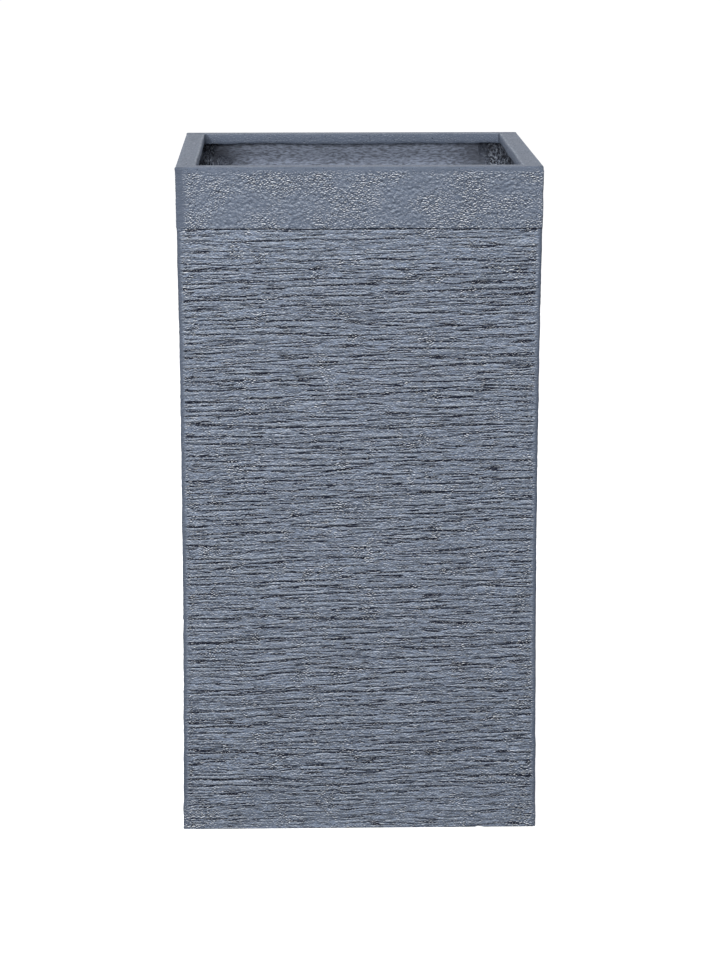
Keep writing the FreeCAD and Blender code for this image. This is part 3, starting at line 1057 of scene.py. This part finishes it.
def makePlug():
    look = plugLook
    n = look["spokes"]
    top = floorTop + look["flangeThick"]
    flangeR = plugHigh[0]
    shankR = holeRadius - look["clearance"]
    # radius and height, up the outside from the tail to the tab
    profile = [(shankR - 2.3, plugLow[2]), (shankR - 1.5, plugLow[2] + 0.6),
               (shankR - 0.2, floorFoot - 0.8), (shankR, floorFoot + 0.4), (shankR, floorTop - 0.6),
               (shankR + 0.5, floorTop), (flangeR - 0.4, floorTop), (flangeR, floorTop + 0.5),
               (flangeR, top - 1.1), (flangeR - 0.35, top - 0.3), (flangeR - 1.1, top),
               (flangeR - 2.4, top - 0.05), (flangeR - 2.9, top - 0.5), (flangeR - 3.6, top - 0.5),
               (flangeR - 4.1, top - 0.05), (9.5, top)]
    a = np.linspace(0, 2 * math.pi, n, endpoint=False)
    points = [(r * math.cos(v), r * math.sin(v), z) for r, z in profile for v in a]
    faces = tubeFaces(len(profile), n)
    # the pull tab: a flat tongue with rounded shoulders and a thicker grip at the top
    base = len(points)
    tabTop = plugHigh[2]
    levels = [(top - 0.6, 1.08, 1.15), (top + 0.6, 1.0, 0.95), (top + 3.5, 0.94, 0.72),
              (top + 8.0, 0.95, 0.72), (top + 10.0, 1.0, 0.98), (tabTop - 1.6, 1.0, 1.0),
              (tabTop - 0.5, 0.96, 0.86), (tabTop, 0.86, 0.55)]
    m = look["tabSpokes"]
    for z, wideShare, thickShare in levels:
        for c in range(m):
            v = 2 * math.pi * c / m
            x = math.copysign(abs(math.cos(v)) ** 0.35, math.cos(v)) * look["tabWide"] / 2 * wideShare
            y = math.copysign(abs(math.sin(v)) ** 0.5, math.sin(v)) * look["tabThick"] / 2 * thickShare
            points.append((x, y, z))
    faces += tubeFaces(len(levels), m, base)
    piece = makeMesh("rubber_bung", np.array(points) * mm, faces, "plug", rubber, ["drain_plug"])
    return piece


makeFloor()
for side in range(4):
    makeBead(side)
makePlug()
print("floor bedded, plug in")


stageLook = {"white": "#FFFFFF", "paper": "#E6E6E6", "bounce": "#9A9A9A", "glow": 0.9, "world": 0.16}


def seenDirectly(tree):
    # 1 where the camera, a reflection or clear glass sees this, 0 where it only lights other things
    path = addNode(tree, "ShaderNodeLightPath")
    seen = addNode(tree, "ShaderNodeMath", {"operation": "MAXIMUM"},
                   {0: path.outputs["Is Camera Ray"], 1: path.outputs["Is Glossy Ray"]})
    return addNode(tree, "ShaderNodeMath", {"operation": "MAXIMUM"},
                   {0: seen.outputs[0], 1: path.outputs["Is Transmission Ray"]}).outputs[0]


def makeStage():
    look = stageLook
    world = bpy.data.worlds.new("white studio")
    bpy.context.scene.world = world
    world.use_nodes = True
    tree = world.node_tree
    tree.nodes.clear()
    light = addNode(tree, "ShaderNodeBackground", Color=srgb(look["white"]), Strength=look["world"])
    seen = addNode(tree, "ShaderNodeBackground", Color=srgb(look["white"]), Strength=1.0)
    mix = addNode(tree, "ShaderNodeMixShader", {},
                  {0: seenDirectly(tree), 1: light.outputs[0], 2: seen.outputs[0]})
    addNode(tree, "ShaderNodeOutputWorld", {}, {0: mix.outputs[0]})

    material, tree, _ = newMaterial("white paper sweep, matt")
    tree.nodes.clear()
    bounce = addNode(tree, "ShaderNodeBsdfDiffuse", Color=srgb(look["bounce"]))
    paper = addNode(tree, "ShaderNodeBsdfDiffuse", Color=srgb(look["paper"]))
    glow = addNode(tree, "ShaderNodeEmission", Color=srgb(look["white"]), Strength=look["glow"])
    bright = addNode(tree, "ShaderNodeAddShader", {}, {0: paper.outputs[0], 1: glow.outputs[0]})
    mix = addNode(tree, "ShaderNodeMixShader", {},
                  {0: seenDirectly(tree), 1: bounce.outputs[0], 2: bright.outputs[0]})
    addNode(tree, "ShaderNodeOutputMaterial", {}, {0: mix.outputs[0]})
    mesh = bpy.data.meshes.new("paper_sweep")
    far = 60.0
    below = -0.0003                # so that it doesn't flicker against the foot
    mesh.from_pydata([(-far, -far, below), (far, -far, below), (far, far, below), (-far, far, below)],
                     [], [[0, 1, 2, 3]])
    mesh.materials.append(material)
    sweep = addObject("paper_sweep", mesh)


def makeLamp(name, place, aim, size, power):
    data = bpy.data.lights.new(name, "AREA")
    data.shape = "RECTANGLE"
    data.size, data.size_y = size
    data.energy = power
    lamp = addObject(name, data)
    lamp.location = place
    lamp.rotation_euler = (Vector(aim) - Vector(place)).to_track_quat("-Z", "Y").to_euler()


cameraLook = {
    "place": (-0.0795, -3.4, 1.0877),
    "turn": 0.0249,               # radians to the right
    "tilt": 0.2105,               # radians down
    "focus": 2959.6,              # pixels of the 720 x 960 photograph
    "frameLong": 960,
    "sensor": 36.0,
}


def makeCamera():
    look = cameraLook
    data = bpy.data.cameras.new("camera")
    data.sensor_width = look["sensor"]
    data.lens = look["focus"] / look["frameLong"] * look["sensor"]
    camera = addObject("camera", data)
    camera.location = look["place"]
    camera.rotation_euler = (math.pi / 2 - look["tilt"], 0, -look["turn"])
    bpy.context.scene.camera = camera


makeStage()
lampLook = [
    # name, place, aim, size, watts
    ("soft box in front", (-0.7, -2.6, 1.3), (0, 0, 0.35), (1.4, 0.9), 42),
    ("soft box high up", (-0.6, -2.6, 4.85), (0, -0.2, 0.5), (1.3, 1.3), 145),
    ("soft box back left", (-2.6, 1.7, 1.6), (0, 0, 0.4), (1.2, 0.9), 30),
    ("soft box back right", (2.6, 1.7, 1.6), (0, 0, 0.4), (1.2, 0.9), 34),
]
for lamp in lampLook:
    makeLamp(*lamp)
makeCamera()
bpy.context.scene.view_settings.view_transform = "Standard"
